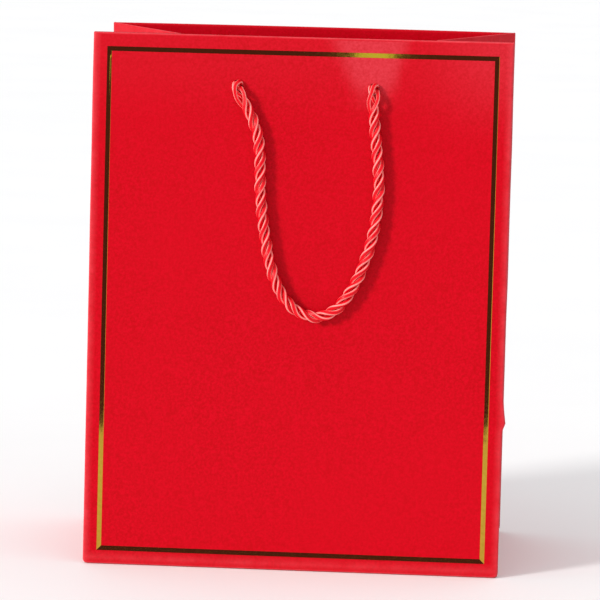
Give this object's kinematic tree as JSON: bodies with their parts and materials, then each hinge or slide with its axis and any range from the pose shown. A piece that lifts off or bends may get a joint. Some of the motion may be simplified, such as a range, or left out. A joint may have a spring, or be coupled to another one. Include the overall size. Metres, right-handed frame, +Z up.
{
  "type": "gift bag",
  "caption": "Upright red paper gift bag with tucked side gussets, a thin gold foil border on both broad faces, and a hanging loop of twisted cord on each.",
  "frame": {"origin": "middle of the base, on the surface that the bag stands on", "axes": "+X to the right seen from the front, -Y out of the front panel at the base, +Z up towards the mouth"},
  "size_m": [0.18, 0.1, 0.2296],
  "materials": {
    "red_paper": "matt laminated red print with a fine mottle, satin sheen at a low angle",
    "white_paper": "uncoated white inside of the paper",
    "gold_foil": "mirror-like hot-stamped foil",
    "twisted_cord": "satin three-strand twisted cord",
    "grey_board": "uncoated grey board"
  },
  "bodies": {
    "base": {"base_board": "grey_board", "bottom_flap_front": "red_paper", "bottom_flap_back": "red_paper", "bottom_flap_left": "red_paper", "bottom_flap_right": "red_paper", "side_wall_left": "red_paper", "side_wall_right": "red_paper", "gusset_left_front": "red_paper", "gusset_left_back": "red_paper", "gusset_right_front": "red_paper", "gusset_right_back": "red_paper", "gusset_left_front_hem": "red_paper", "gusset_left_back_hem": "red_paper", "gusset_right_front_hem": "red_paper", "gusset_right_back_hem": "red_paper"},
    "front_panel": {"front_panel": "red_paper", "front_top_hem": "red_paper", "front_rim_card": "grey_board", "front_foil_border": "gold_foil", "front_knot_left": "twisted_cord", "front_knot_right": "twisted_cord"},
    "back_panel": {"back_panel": "red_paper", "back_top_hem": "red_paper", "back_rim_card": "grey_board", "back_foil_border": "gold_foil", "back_knot_left": "twisted_cord", "back_knot_right": "twisted_cord", "side_seam_flap": "white_paper"},
    "front_handle": {"front_handle": "twisted_cord"},
    "back_handle": {"back_handle": "twisted_cord"}
  },
  "joints": [
    {"name": "front_panel_lean", "type": "hinge", "parent": "base", "child": "front_panel", "pos_m": [0, -0.05, 0], "axis": [-1, 0, 0], "range_deg": [-3.3, 5], "deforming": ["gusset_left_front", "gusset_left_front_hem", "gusset_right_front", "gusset_right_front_hem"]},
    {"name": "back_panel_lean", "type": "hinge", "parent": "base", "child": "back_panel", "pos_m": [0, 0.05, 0], "axis": [1, 0, 0], "range_deg": [-3.3, 5], "deforming": ["gusset_left_back", "gusset_left_back_hem", "gusset_right_back", "gusset_right_back_hem"]},
    {"name": "front_handle_swing", "type": "hinge", "parent": "front_panel", "child": "front_handle", "pos_m": [0, -0.04054, 0.2085], "axis": [-1, 0, 0], "range_deg": [0, 176]},
    {"name": "back_handle_swing", "type": "hinge", "parent": "back_panel", "child": "back_handle", "pos_m": [0, 0.04054, 0.2085], "axis": [1, 0, 0], "range_deg": [0, 176]}
  ]
}
